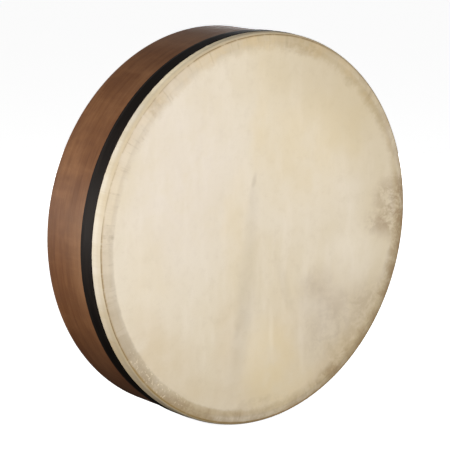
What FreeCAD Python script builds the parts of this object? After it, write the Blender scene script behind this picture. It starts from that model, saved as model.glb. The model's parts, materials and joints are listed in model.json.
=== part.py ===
import FreeCAD, Part
import math
import os

# An 18 inch bodhran that is tuned from inside, held upright with its head facing -Y.
#
# Every piece is drawn in drum coordinates: z runs forward from the rear rim along the drum's
# axis, and seen from the head x is to the right and y is up. export() turns them to the part's
# own axes, whose origin is the middle of the crossbar, where the player's hand holds the drum.
# All sizes are in millimetres.

Vector = FreeCAD.Vector

# Driving dimensions
SHELL_RADIUS = 228.6  # 18 inches across
SHELL_DEPTH = 101.6  # 4 inches
SHELL_WALL = 8.0
SKIN_THICKNESS = 0.8
TUNER_COUNT = 8
STAPLE_COUNT = 32
GRIP_INSET = 22.0  # middle of the crossbar, forward of the rear rim

# Gaps
NEAR = 0.05  # how close counts as the same place when an edge is picked
FIT = 0.05  # between pieces that are fixed to each other
THREAD_FIT = 0.05  # between a tuning screw and its nut
SKIN_GAP = 0.3  # between the tuning ring and the skin
RING_GAP = 0.5  # between the tuning ring and the shell

# Shell
SHELL_INNER = SHELL_RADIUS - SHELL_WALL
SHELL_FRONT_ROUNDING = 4.0
SHELL_REAR_ROUNDING = 1.5
SHELL_INNER_ROUNDING = 0.8

# Tuning ring, under the skin and inside the shell
RING_OUTER = SHELL_INNER - RING_GAP
RING_WALL = 8.0
RING_INNER = RING_OUTER - RING_WALL
RING_MIDDLE = RING_OUTER - RING_WALL / 2
RING_HEIGHT = 20.0
RING_ROUNDING = 2.5
RING_PROUD = 1.2  # how far the ring's bearing edge stands forward of the shell
RING_FRONT = SHELL_DEPTH + RING_PROUD
RING_REAR = RING_FRONT - RING_HEIGHT

# Skin
SKIN_UNDERSIDE = RING_FRONT + SKIN_GAP
SKIN_BEND_RADIUS = RING_OUTER - RING_ROUNDING
SKIN_INSIDE = SHELL_RADIUS + FIT
SKIN_OUTSIDE = SKIN_INSIDE + SKIN_THICKNESS
SKIN_END = 74.0  # the cut edge of the skin, hidden under the band

# Band round the outside that covers the skin's cut edge and its staples
BAND_REAR = 66.5
BAND_FRONT = 88.5
BAND_THICKNESS = 0.55
BAND_RAMP_START = 1.2  # behind the skin's end, where the band's outside starts to rise over it
BAND_RAMP_END = 0.4

# Staples that hold the skin to the shell
STAPLE_HEIGHT = 80.0
STAPLE_LENGTH = 10.0
STAPLE_WIDTH = 1.2
STAPLE_WIRE = 0.5
STAPLE_LEG = 6.8
STAPLE_BACK = SKIN_OUTSIDE - STAPLE_WIRE - FIT

# Tuning screws, M5 x 40 socket head cap screws
SCREW_RADIUS = 2.5
SCREW_LENGTH = 40.0
SCREW_HEAD_RADIUS = 4.25
SCREW_HEAD_HEIGHT = 5.0
SCREW_SOCKET = 4.0
SCREW_SOCKET_DEPTH = 2.5
SCREW_CHAMFER = 0.5
TIP_GAP = 0.1

# Thrust plates that the screws push on
PLATE_THICKNESS = 2.0
PLATE_WIDTH = 28.0
PLATE_INNER = 209.4
PLATE_OUTER = 219.2
PLATE_ROUNDING = 2.0
PLATE_SCREW_SPREAD = 9.5
PLATE_SCREW_INSET = 1.0  # inwards from the middle of the ring's wall
PLATE_REAR = RING_REAR - PLATE_THICKNESS

# Steel angle brackets that carry the nuts
BRACKET_THICKNESS = 2.0
BRACKET_WIDTH = 28.0
BRACKET_NOSE = 14.0
BRACKET_REAR = 52.0
BRACKET_FRONT = 72.0
BRACKET_REACH = 13.4  # of the shelf, inwards from the outside of the bend
BRACKET_BEND = 0.3
BRACKET_ROUNDING = 2.5
BRACKET_HOLE_RADIUS = 2.75
BRACKET_BACK = math.sqrt(SHELL_INNER**2 - (BRACKET_WIDTH / 2) ** 2) - FIT
BRACKET_FACE = BRACKET_BACK - BRACKET_THICKNESS
BRACKET_SCREW_SPREAD = 9.0
BRACKET_SCREW_HEIGHT = 63.0

# M5 nuts, held from turning by the bracket's upright leg
NUT_FLATS = 8.0
NUT_HEIGHT = 4.0
NUT_GAP = 0.4
SCREW_AXIS = BRACKET_FACE - NUT_GAP - NUT_FLATS / 2

# Small screws
PAN_DOME = [(0.6, 1.0), (0.9, 0.7), (1.0, 0.35)]  # shares of the head's radius and height
SMALL_SCREW_RADIUS = 1.75
SMALL_HEAD_RADIUS = 3.2
SMALL_HEAD_HEIGHT = 2.2
SMALL_POINT = 3.0
PLATE_SCREW_RADIUS = 1.5
PLATE_SCREW_HEAD_RADIUS = 2.6
PLATE_SCREW_HEAD_HEIGHT = 1.9
PLATE_SCREW_LENGTH = 11.0
BRACKET_SCREW_LENGTH = 7.6
COUNTERSUNK_RADIUS = 3.6
COUNTERSUNK_RIM = 0.2
RECESS_WIDTH = 0.9
RECESS_SPAN = 3.4
RECESS_DEPTH = 1.2

# Crossbar and the blocks that it is let into
BAR_WIDTH = 26.0
BAR_WAIST = 21.0
BAR_THICKNESS = 14.0
BAR_ROUNDING = 4.0
BAR_END_GAP = 1.2  # between the bar's square end and the middle of the shell's wall
BAR_HALF_LENGTH = SHELL_INNER - BAR_END_GAP
BAR_REAR = GRIP_INSET - BAR_THICKNESS / 2
BAR_SCREW_LENGTH = 26.0
BLOCK_WIDTH = 64.0
BLOCK_THICKNESS = 14.0
BLOCK_HEIGHT = 28.0
BLOCK_ROUNDING = 3.0
BLOCK_FACE = SHELL_INNER - BLOCK_THICKNESS
BLOCK_SCREW_SPREAD = 22.0
BLOCK_SCREW_LENGTH = 18.4


def revolved(outline):
    """The solid that a closed outline of (radius, z) points makes, turned round the z axis."""
    points = [Vector(radius, 0, z) for radius, z in outline]
    face = Part.Face(Part.makePolygon(points + points[:1]))
    return face.revolve(Vector(0, 0, 0), Vector(0, 0, 1), 360)


def prism(outline, base, height):
    """A closed outline of (x, y) points, extruded along z."""
    points = [Vector(x, y, base) for x, y in outline]
    face = Part.Face(Part.makePolygon(points + points[:1]))
    return face.extrude(Vector(0, 0, height))


def block(low, high):
    """A rectangular box between two corners."""
    size = [b - a for a, b in zip(low, high)]
    return Part.makeBox(*size, Vector(*low))


def turned(shape, degrees):
    """A copy turned round the drum's axis."""
    copy = shape.copy()
    copy.rotate(Vector(0, 0, 0), Vector(0, 0, 1), degrees)
    return copy


def moved(shape, x=0.0, y=0.0, z=0.0):
    """A copy moved along the axes."""
    copy = shape.copy()
    copy.translate(Vector(x, y, z))
    return copy


def outwards(shape):
    """A copy whose z axis points radially outwards, along x."""
    copy = shape.copy()
    copy.rotate(Vector(0, 0, 0), Vector(0, 1, 0), 90)
    return copy


def upwards(shape):
    """A copy whose z axis points up, along y."""
    copy = shape.copy()
    copy.rotate(Vector(0, 0, 0), Vector(1, 0, 0), -90)
    return copy


def round_edges(shape, radius, chosen):
    """Rounds the edges that chosen() picks."""
    return shape.makeFillet(radius, [edge for edge in shape.Edges if chosen(edge)])


def circle_at(radius, z):
    """Picks the circular edge of a turned solid that has this radius and height."""

    def chosen(edge):
        box = edge.BoundBox
        offsets = [box.XMax - radius, box.ZMax - z, box.ZMin - z]
        return max(abs(offset) for offset in offsets) < NEAR

    return chosen


def along(axis):
    """Picks straight edges that run along x, y or z."""

    def chosen(edge):
        box = edge.BoundBox
        spans = {"x": box.XLength, "y": box.YLength, "z": box.ZLength}
        length = spans.pop(axis)
        return length > NEAR and max(spans.values()) < NEAR

    return chosen


def cross_recess(depth):
    """The cross-shaped hole for a screwdriver, cut into z from 0 to depth."""
    half_width = RECESS_WIDTH / 2
    half_span = RECESS_SPAN / 2
    wide = block((-half_span, -half_width, -FIT), (half_span, half_width, depth))
    tall = block((-half_width, -half_span, -FIT), (half_width, half_span, depth))
    return wide.fuse(tall)


def pan_screw(shank, head, head_height, length, gap=0.0):
    """A pan head wood screw along z, with the underside of its head at z = 0."""
    shank += gap
    dome = [(wide * head, -high * head_height) for wide, high in PAN_DOME]
    outline = [
        (0, -head_height),
        *dome,
        (head, 0),
        (shank, 0),
        (shank, length - SMALL_POINT + gap),
        (0, length + gap),
    ]
    screw = revolved(outline)
    if gap:
        return screw
    return screw.cut(moved(cross_recess(RECESS_DEPTH), z=-head_height))


def countersunk_screw(shank, head, length, gap=0.0):
    """A countersunk wood screw along z, with the top of its head at z = 0."""
    shank += gap
    head += gap
    rim = COUNTERSUNK_RIM + gap
    outline = [
        (0, 0),
        (head, 0),
        (head, rim),
        (shank, rim + head - shank),
        (shank, length - SMALL_POINT + gap),
        (0, length + gap),
    ]
    screw = revolved(outline)
    if gap:
        return screw
    return screw.cut(cross_recess(RECESS_DEPTH))


def hexagon(flats):
    """The corners of a hexagon with two flats facing along x."""
    corner = flats / math.sqrt(3)
    angles = [math.radians(30 + 60 * k) for k in range(6)]
    return [(corner * math.cos(a), corner * math.sin(a)) for a in angles]


def round_the_drum(shape, count, first):
    """Copies of a piece at equal steps round the drum's axis."""
    return [turned(shape, first + 360 / count * k) for k in range(count)]


def at_tuners(shape):
    """Copies of a piece at the tuning screws, which stand clear of the crossbar's ends."""
    return round_the_drum(shape, TUNER_COUNT, 180 / TUNER_COUNT)


def pair_across(shape, spread):
    """Two copies of a piece, to either side of the x axis."""
    return [moved(shape, y=-spread), moved(shape, y=spread)]


def bracket_screw(gap=0.0):
    screw = pan_screw(SMALL_SCREW_RADIUS, SMALL_HEAD_RADIUS, SMALL_HEAD_HEIGHT, BRACKET_SCREW_LENGTH, gap)
    return moved(outwards(screw), x=BRACKET_FACE, z=BRACKET_SCREW_HEIGHT)


def plate_screw(gap=0.0):
    screw = pan_screw(
        PLATE_SCREW_RADIUS, PLATE_SCREW_HEAD_RADIUS, PLATE_SCREW_HEAD_HEIGHT, PLATE_SCREW_LENGTH, gap
    )
    return moved(screw, x=RING_MIDDLE - PLATE_SCREW_INSET, z=PLATE_REAR)


def bar_screw(gap=0.0):
    screw = countersunk_screw(SMALL_SCREW_RADIUS, COUNTERSUNK_RADIUS, BAR_SCREW_LENGTH, gap)
    return moved(screw, y=BLOCK_FACE + BLOCK_THICKNESS / 2, z=BAR_REAR)


def block_screw(gap=0.0):
    screw = countersunk_screw(SMALL_SCREW_RADIUS, COUNTERSUNK_RADIUS, BLOCK_SCREW_LENGTH, gap)
    return moved(upwards(screw), y=BLOCK_FACE, z=BAR_REAR + BLOCK_HEIGHT / 2)


def bracket_screws(gap=0.0):
    pair = Part.makeCompound(pair_across(bracket_screw(gap), BRACKET_SCREW_SPREAD))
    return at_tuners(pair)


def plate_screws(gap=0.0):
    pair = Part.makeCompound(pair_across(plate_screw(gap), PLATE_SCREW_SPREAD))
    return at_tuners(pair)


def bar_screws(gap=0.0):
    return round_the_drum(bar_screw(gap), 2, 0)


def block_screws(gap=0.0):
    screw = block_screw(gap)
    pair = Part.makeCompound([moved(screw, x=-BLOCK_SCREW_SPREAD), moved(screw, x=BLOCK_SCREW_SPREAD)])
    return round_the_drum(pair, 2, 0)


def staple(gap=0.0):
    """A flat-crowned staple whose crown lies in the skin and whose legs go into the shell."""
    half_length = STAPLE_LENGTH / 2 + gap
    half_width = STAPLE_WIDTH / 2 + gap
    low, high = STAPLE_HEIGHT - half_width, STAPLE_HEIGHT + half_width
    front = STAPLE_BACK + STAPLE_WIRE + gap
    crown = block((STAPLE_BACK - gap, -half_length, low), (front, half_length, high))
    tip = STAPLE_BACK - STAPLE_LEG - gap
    inner = STAPLE_LENGTH / 2 - STAPLE_WIRE - gap
    left = block((tip, -half_length, low), (STAPLE_BACK, -inner, high))
    right = block((tip, inner, low), (STAPLE_BACK, half_length, high))
    return crown.fuse([left, right]).removeSplitter()


def staples(gap=0.0):
    return round_the_drum(staple(gap), STAPLE_COUNT, 180 / STAPLE_COUNT)


def make_shell():
    """The bent wood shell, with a rounded front edge for the skin and drilled for its fittings."""
    shell = revolved(
        [
            (SHELL_INNER, 0),
            (SHELL_RADIUS, 0),
            (SHELL_RADIUS, SHELL_DEPTH),
            (SHELL_INNER, SHELL_DEPTH),
        ]
    )
    shell = round_edges(shell, SHELL_FRONT_ROUNDING, circle_at(SHELL_RADIUS, SHELL_DEPTH))
    shell = round_edges(shell, SHELL_INNER_ROUNDING, circle_at(SHELL_INNER, SHELL_DEPTH))
    shell = round_edges(shell, SHELL_REAR_ROUNDING, circle_at(SHELL_RADIUS, 0))
    shell = round_edges(shell, SHELL_REAR_ROUNDING, circle_at(SHELL_INNER, 0))
    return shell.cut(bracket_screws(FIT) + block_screws(FIT) + staples(FIT))


def make_skin():
    """The goat skin: flat over the tuning ring, sloping to the rim and lapped down its outside."""
    centre = SHELL_RADIUS - SHELL_FRONT_ROUNDING
    across = centre - SKIN_BEND_RADIUS
    down = SKIN_UNDERSIDE - (SHELL_DEPTH - SHELL_FRONT_ROUNDING)
    inner_rounding = SHELL_FRONT_ROUNDING + FIT
    slope = math.acos(inner_rounding / math.hypot(across, down)) - math.atan2(across, down)
    inner_corner = SKIN_UNDERSIDE - (SKIN_INSIDE - SKIN_BEND_RADIUS) * math.tan(slope)
    outer_corner = inner_corner + SKIN_THICKNESS * (1 / math.cos(slope) - math.tan(slope))
    outer_bend = SKIN_BEND_RADIUS + SKIN_THICKNESS * math.tan(slope / 2)
    skin = revolved(
        [
            (0, SKIN_UNDERSIDE),
            (SKIN_BEND_RADIUS, SKIN_UNDERSIDE),
            (SKIN_INSIDE, inner_corner),
            (SKIN_INSIDE, SKIN_END),
            (SKIN_OUTSIDE, SKIN_END),
            (SKIN_OUTSIDE, outer_corner),
            (outer_bend, SKIN_UNDERSIDE + SKIN_THICKNESS),
            (0, SKIN_UNDERSIDE + SKIN_THICKNESS),
        ]
    )
    skin = round_edges(skin, inner_rounding + SKIN_THICKNESS, circle_at(SKIN_OUTSIDE, outer_corner))
    skin = round_edges(skin, inner_rounding, circle_at(SKIN_INSIDE, inner_corner))
    return skin.cut(staples(FIT))


def make_edge_band():
    """A thin band that steps from the bare shell up over the end of the skin."""
    on_shell = SHELL_RADIUS + FIT
    on_skin = SKIN_OUTSIDE + FIT
    return revolved(
        [
            (on_shell, BAND_REAR),
            (on_shell + BAND_THICKNESS, BAND_REAR),
            (on_shell + BAND_THICKNESS, SKIN_END - BAND_RAMP_START),
            (on_skin + BAND_THICKNESS, SKIN_END - BAND_RAMP_END),
            (on_skin + BAND_THICKNESS, BAND_FRONT),
            (on_skin, BAND_FRONT),
            (on_skin, SKIN_END),
            (on_shell, SKIN_END - SKIN_THICKNESS),
        ]
    )


def make_tuning_ring():
    """The inner hoop that slides in the shell and pushes the skin, with a rounded bearing edge."""
    ring = revolved(
        [
            (RING_INNER, RING_REAR),
            (RING_OUTER, RING_REAR),
            (RING_OUTER, RING_FRONT),
            (RING_INNER, RING_FRONT),
        ]
    )
    for radius in (RING_INNER, RING_OUTER):
        ring = round_edges(ring, RING_ROUNDING, circle_at(radius, RING_FRONT))
    return ring.cut(plate_screws(FIT))


def make_thrust_plate():
    """A steel plate on the rear edge of the tuning ring, where one screw pushes."""
    half = PLATE_WIDTH / 2
    plate = block((PLATE_INNER, -half, PLATE_REAR), (PLATE_OUTER, half, RING_REAR))
    plate = round_edges(plate, PLATE_ROUNDING, along("z"))
    return plate.cut(pair_across(plate_screw(FIT), PLATE_SCREW_SPREAD))


def make_tuning_screw():
    """A socket head cap screw along z, with its head and socket facing the rear."""
    tip = PLATE_REAR - TIP_GAP
    under_head = tip - SCREW_LENGTH
    back = under_head - SCREW_HEAD_HEIGHT
    screw = revolved(
        [
            (0, back),
            (SCREW_HEAD_RADIUS - SCREW_CHAMFER, back),
            (SCREW_HEAD_RADIUS, back + SCREW_CHAMFER),
            (SCREW_HEAD_RADIUS, under_head),
            (SCREW_RADIUS, under_head),
            (SCREW_RADIUS, tip - SCREW_CHAMFER),
            (SCREW_RADIUS - SCREW_CHAMFER, tip),
            (0, tip),
        ]
    )
    socket = prism(hexagon(SCREW_SOCKET), back, SCREW_SOCKET_DEPTH)
    return moved(screw.cut(socket), x=SCREW_AXIS)


def make_tuning_bracket():
    """An angle bent from sheet steel: one leg on the shell's wall, one shelf under the nut."""
    half = BRACKET_WIDTH / 2
    nose = BRACKET_FACE - BRACKET_REACH + BRACKET_THICKNESS
    upright = block((BRACKET_FACE, -half, BRACKET_REAR), (BRACKET_BACK, half, BRACKET_FRONT))
    shelf_top = BRACKET_REAR + BRACKET_THICKNESS
    shelf = block((nose, -half, BRACKET_REAR), (BRACKET_BACK, half, shelf_top))
    angle = upright.fuse(shelf).removeSplitter()

    def bend_at(x, z):
        return lambda edge: along("y")(edge) and edge.BoundBox.Center.isEqual(Vector(x, 0, z), NEAR)

    def front_corner(edge):
        return along("x")(edge) and abs(edge.BoundBox.ZMax - BRACKET_FRONT) < NEAR

    def inboard(edge):
        return along("z")(edge) and edge.BoundBox.XMax < BRACKET_FACE

    angle = round_edges(angle, BRACKET_BEND + BRACKET_THICKNESS, bend_at(BRACKET_BACK, BRACKET_REAR))
    angle = round_edges(angle, BRACKET_BEND, bend_at(BRACKET_FACE, shelf_top))
    angle = round_edges(angle, BRACKET_ROUNDING, front_corner)
    shoulder = BRACKET_FACE - BRACKET_THICKNESS
    half_nose = BRACKET_NOSE / 2
    outline = prism(
        [
            (BRACKET_BACK, -half),
            (BRACKET_BACK, half),
            (shoulder, half),
            (nose, half_nose),
            (nose, -half_nose),
            (shoulder, -half),
        ],
        BRACKET_REAR,
        BRACKET_FRONT - BRACKET_REAR,
    )
    angle = angle.common(round_edges(outline, BRACKET_ROUNDING, inboard))
    hole = Part.makeCylinder(BRACKET_HOLE_RADIUS, BRACKET_FRONT, Vector(SCREW_AXIS, 0, 0))
    return angle.cut([hole] + pair_across(bracket_screw(FIT), BRACKET_SCREW_SPREAD))


def make_lug_nut():
    """A hexagon nut on the bracket's shelf, with one flat facing the upright leg."""
    base = BRACKET_REAR + BRACKET_THICKNESS
    corner = NUT_FLATS / math.sqrt(3)
    chamfer = (corner - NUT_FLATS / 2) / 2
    body = prism(hexagon(NUT_FLATS), base, NUT_HEIGHT)
    turned_blank = revolved(
        [
            (0, base),
            (NUT_FLATS / 2, base),
            (corner, base + chamfer),
            (corner, base + NUT_HEIGHT - chamfer),
            (NUT_FLATS / 2, base + NUT_HEIGHT),
            (0, base + NUT_HEIGHT),
        ]
    )
    bore = Part.makeCylinder(SCREW_RADIUS + THREAD_FIT, SHELL_DEPTH)
    return moved(body.common(turned_blank).cut(bore), x=SCREW_AXIS)


def make_crossbar():
    """The hand-hold: a flat bar with rounded edges and a slight waist in the middle."""
    half = BAR_WIDTH / 2
    waist = BAR_WAIST / 2
    length = BAR_HALF_LENGTH
    right = Part.Arc(Vector(half, -length, 0), Vector(waist, 0, 0), Vector(half, length, 0))
    top = Part.LineSegment(Vector(half, length, 0), Vector(-half, length, 0))
    left = Part.Arc(Vector(-half, length, 0), Vector(-waist, 0, 0), Vector(-half, -length, 0))
    bottom = Part.LineSegment(Vector(-half, -length, 0), Vector(half, -length, 0))
    outline = Part.Wire([side.toShape() for side in (right, top, left, bottom)])
    bar = Part.Face(outline).extrude(Vector(0, 0, BAR_THICKNESS))
    bar = round_edges(bar, BAR_ROUNDING, lambda edge: edge.BoundBox.YLength > length)
    return moved(bar, z=BAR_REAR).cut(bar_screws(FIT))


def make_crossbar_block():
    """The upper end block, hollowed at its rear to take the end of the crossbar."""

    def inboard(edge):
        return along("z")(edge) and edge.BoundBox.YMax < SHELL_INNER - NEAR

    half = BLOCK_WIDTH / 2
    front = BAR_REAR + BLOCK_HEIGHT
    body = block((-half, BLOCK_FACE, BAR_REAR), (half, SHELL_INNER, front))
    body = round_edges(body, BLOCK_ROUNDING, inboard)
    wall = Part.makeCylinder(SHELL_INNER - FIT, front)
    slot_half = BAR_WIDTH / 2 + FIT
    slot_front = BAR_REAR + BAR_THICKNESS + FIT
    slot = block((-slot_half, BLOCK_FACE - FIT, 0), (slot_half, SHELL_INNER, slot_front))
    holes = [bar_screw(FIT)] + [moved(block_screw(FIT), x=s * BLOCK_SCREW_SPREAD) for s in (-1, 1)]
    return body.common(wall).cut([slot] + holes)


def export(name, shape):
    """Turns a piece from drum coordinates to the part's axes and writes it."""
    placed = shape.copy()
    placed.rotate(Vector(0, 0, 0), Vector(1, 0, 0), 90)
    placed.translate(Vector(0, GRIP_INSET, 0))
    placed.exportStep(f"parts/{name}.step")


def main():
    os.makedirs("parts", exist_ok=True)
    export("shell", make_shell())
    export("goat_skin", make_skin())
    export("skin_staples", Part.makeCompound(staples()))
    export("edge_band", make_edge_band())
    export("tuning_ring", make_tuning_ring())
    export("thrust_plate_screws", Part.makeCompound(plate_screws()))
    export("bracket_screws", Part.makeCompound(bracket_screws()))
    repeated = {
        "thrust_plate": make_thrust_plate(),
        "tuning_screw": make_tuning_screw(),
        "tuning_bracket": make_tuning_bracket(),
        "lug_nut": make_lug_nut(),
    }
    for name, shape in repeated.items():
        for number, copy in enumerate(at_tuners(shape), start=1):
            export(f"{name}_{number}", copy)
    upper_block = make_crossbar_block()
    export("crossbar", make_crossbar())
    export("crossbar_block_upper", upper_block)
    export("crossbar_block_lower", turned(upper_block, 180))
    export("crossbar_screws", Part.makeCompound(bar_screws()))
    export("block_screws", Part.makeCompound(block_screws()))


main()
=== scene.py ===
import json
import math

import bmesh
import bpy
import numpy as np
from mathutils import Matrix, Vector


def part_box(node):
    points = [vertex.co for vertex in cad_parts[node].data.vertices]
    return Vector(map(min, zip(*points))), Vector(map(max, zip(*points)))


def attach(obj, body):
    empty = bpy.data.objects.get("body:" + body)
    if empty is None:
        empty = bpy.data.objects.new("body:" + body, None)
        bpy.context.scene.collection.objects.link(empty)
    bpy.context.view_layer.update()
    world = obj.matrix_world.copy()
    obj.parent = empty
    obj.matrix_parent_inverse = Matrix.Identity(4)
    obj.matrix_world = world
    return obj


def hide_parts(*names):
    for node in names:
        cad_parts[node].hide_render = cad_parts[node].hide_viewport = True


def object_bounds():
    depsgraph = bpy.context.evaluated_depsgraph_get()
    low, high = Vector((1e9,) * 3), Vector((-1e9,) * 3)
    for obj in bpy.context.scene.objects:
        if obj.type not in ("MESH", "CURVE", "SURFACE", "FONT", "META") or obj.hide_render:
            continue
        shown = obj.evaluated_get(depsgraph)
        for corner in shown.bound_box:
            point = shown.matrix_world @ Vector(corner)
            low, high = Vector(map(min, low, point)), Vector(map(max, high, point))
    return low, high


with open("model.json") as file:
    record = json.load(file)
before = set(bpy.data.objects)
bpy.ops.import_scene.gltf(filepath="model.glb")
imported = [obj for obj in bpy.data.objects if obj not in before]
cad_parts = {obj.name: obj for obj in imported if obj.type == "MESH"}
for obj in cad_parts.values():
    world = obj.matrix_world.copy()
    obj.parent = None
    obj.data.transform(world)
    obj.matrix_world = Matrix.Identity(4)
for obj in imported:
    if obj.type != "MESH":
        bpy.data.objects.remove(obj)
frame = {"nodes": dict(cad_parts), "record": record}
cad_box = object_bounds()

# An 18 inch bodhran, standing on its rim with its head facing -Y. Metres throughout.

MM = 0.001

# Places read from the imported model
shell_low, shell_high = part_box("shell")
skin_low, skin_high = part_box("goat_skin")
band_low, band_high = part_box("edge_band")
ring_low, ring_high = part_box("tuning_ring")
screw_low, screw_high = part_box("tuning_screw_1")
SHELL_RADIUS = shell_high.x
SHELL_FRONT = shell_low.y
SHELL_REAR = shell_high.y
SKIN_RADIUS = skin_high.x
SKIN_FRONT = skin_low.y
SKIN_END = skin_high.y
BAND_RADIUS = band_high.x
BAND_FRONT = band_low.y
BAND_REAR = band_high.y
RING_RADIUS = ring_high.x
RING_FRONT = ring_low.y
RING_REAR = ring_high.y
SCREW_LENGTH = screw_high.y - screw_low.y

# Sizes that the boxes don't give
SHELL_WALL = 8 * MM
SHELL_FRONT_ROUNDING = 4 * MM
SHELL_REAR_ROUNDING = 1.5 * MM
SHELL_INNER_ROUNDING = 0.8 * MM
SKIN_THICKNESS = 0.8 * MM
RING_WALL = 8 * MM
RING_FRONT_ROUNDING = 2.5 * MM
RING_REAR_ROUNDING = 0.6 * MM
RING_INNER = RING_RADIUS - RING_WALL
BAND_THICKNESS = 0.55 * MM
BAND_SOFTNESS = 0.2 * MM
BAND_TILT = 1.6 * MM  # how far the band wanders forward at the top, and back at the bottom
FIT = 0.05 * MM
TUNERS = 8
SCREW_TURNS = 48  # points round each row of a tuning screw
SCREW_HEAD = 5 * MM
SCREW_HEAD_RADIUS = 4.25 * MM
SCREW_SHANK_RADIUS = 2.5 * MM
SCREW_ROOT_RADIUS = 2.06 * MM
SCREW_PITCH = 0.8 * MM
SCREW_PLAIN = 9 * MM  # the shank's length behind the thread
SOCKET_FLATS = 4 * MM
SOCKET_DEPTH = 2.5 * MM

# Where the wood's scarf joint and the band's butt joint are, anticlockwise from the right
SCARF_ANGLE = math.radians(-66)
SCARF_SLANT = 2.2  # radians round the drum for each metre along its axis
BUTT_ANGLE = math.radians(-97)

# The camera: its direction and distance from the drum, and its offset across the view
VIEW_AZIMUTH = math.radians(-39.1)
VIEW_ELEVATION = math.radians(12.1)
VIEW_DISTANCE = 9.76 * SHELL_RADIUS
VIEW_RIGHT = -0.183 * SHELL_RADIUS
VIEW_UP = 0.031 * SHELL_RADIUS
LENS = 154.8  # millimetres, as is the sensor
SENSOR = 36.0

# Soft boxes: name, place, size in metres, power in watts
LIGHTS = [
    ("key", (-1.0, -0.3, 0.24), 0.5, 8),
    ("front", (0.15, -1.5, 0.3), 0.8, 18),
    ("side", (-1.3, 1.2, 0.05), 0.5, 10),
    ("back", (1.2, 1.3, 0.08), 0.8, 12),
]
FLOOR_HALF = 12.0  # large enough for its edges to stay out of sight

random = np.random.default_rng(7)


def paint(red, green, blue):
    """A display colour from 0 to 255, as the linear colour that a shader takes."""
    parts = [c / 255 for c in (red, green, blue)]
    linear = [c / 12.92 if c <= 0.04045 else ((c + 0.055) / 1.055) ** 2.4 for c in parts]
    return (*linear, 1.0)


# Camera, lights and floor


def make_camera():
    """The camera that sees the drum as the photo does."""
    camera = bpy.data.objects.new("camera", bpy.data.cameras.new("camera"))
    bpy.context.scene.collection.objects.link(camera)
    camera.data.lens = LENS
    camera.data.sensor_width = SENSOR
    camera.data.clip_start = 0.05
    camera.data.clip_end = 50
    level = math.cos(VIEW_ELEVATION)
    east, north = math.sin(VIEW_AZIMUTH), -math.cos(VIEW_AZIMUTH)
    back = Vector((east * level, north * level, math.sin(VIEW_ELEVATION)))
    right = Vector((-north, east, 0))
    up = back.cross(right)
    target = Vector((0, SHELL_FRONT, 0))
    place = target + right * VIEW_RIGHT + up * VIEW_UP + back * VIEW_DISTANCE
    rotation = Matrix((right, up, back)).transposed().to_4x4()
    camera.matrix_world = Matrix.Translation(place) @ rotation
    bpy.context.scene.camera = camera


def make_light(name, place, size, power):
    """A square soft box that faces the middle of the drum."""
    light = bpy.data.lights.new(name, "AREA")
    light.size = size
    light.energy = power
    lamp = bpy.data.objects.new(name, light)
    bpy.context.scene.collection.objects.link(lamp)
    lamp.location = place
    lamp.rotation_euler = (-Vector(place)).to_track_quat("-Z", "Y").to_euler()


def make_world():
    """A dim room with a pale backdrop behind the drum and a pale line all round the horizon."""
    world = bpy.data.worlds.new("studio")
    bpy.context.scene.world = world
    world.use_nodes = True
    n = Nodes(world.node_tree)
    _, behind, height = n.split(n.add("ShaderNodeTexCoord").outputs["Generated"])
    above = n.ease(height, -0.04, 0.0)
    horizon = n.times(above, n.ease(height, 0.06, 0.2, 0.8, 0.0))
    backdrop = n.times(
        above, n.ease(behind, 0.1, 0.7, 0.0, 0.4), n.ease(height, 0.25, 0.6, 1.0, 0.2)
    )
    light = n.plus(n.most(horizon, backdrop), n.ease(height, -0.1, 0.3, 0.03, 0.10))
    n.feed(world.node_tree.nodes["Background"].inputs["Strength"], light)
    world.node_tree.nodes["Background"].inputs["Color"].default_value = (1, 1, 1, 1)


def make_floor():
    """A pale floor. It takes the drum's shadow, but throws no light back up at the drum."""
    half, low = FLOOR_HALF, cad_box[0].z
    corners = [(-half, -half, low), (half, -half, low), (half, half, low), (-half, half, low)]
    mesh = bpy.data.meshes.new("floor")
    mesh.from_pydata(corners, [], [(0, 1, 2, 3)])
    floor = bpy.data.objects.new("floor", mesh)
    bpy.context.scene.collection.objects.link(floor)
    floor.visible_diffuse = False
    floor.visible_glossy = False
    n = Material("floor_paper")
    n.set("Base Color", (0.9, 0.9, 0.9, 1))
    n.set("Roughness", 1.0)
    n.set("Specular IOR Level", 0.0)
    n.set("Emission Color", (1, 1, 1, 1))
    n.set("Emission Strength", 0.82)
    mesh.materials.append(n.material)


def make_studio():
    make_world()
    make_floor()
    for name, place, size, power in LIGHTS:
        make_light(name, place, size, power)
    bpy.context.scene.view_settings.view_transform = "Standard"


# Materials


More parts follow.
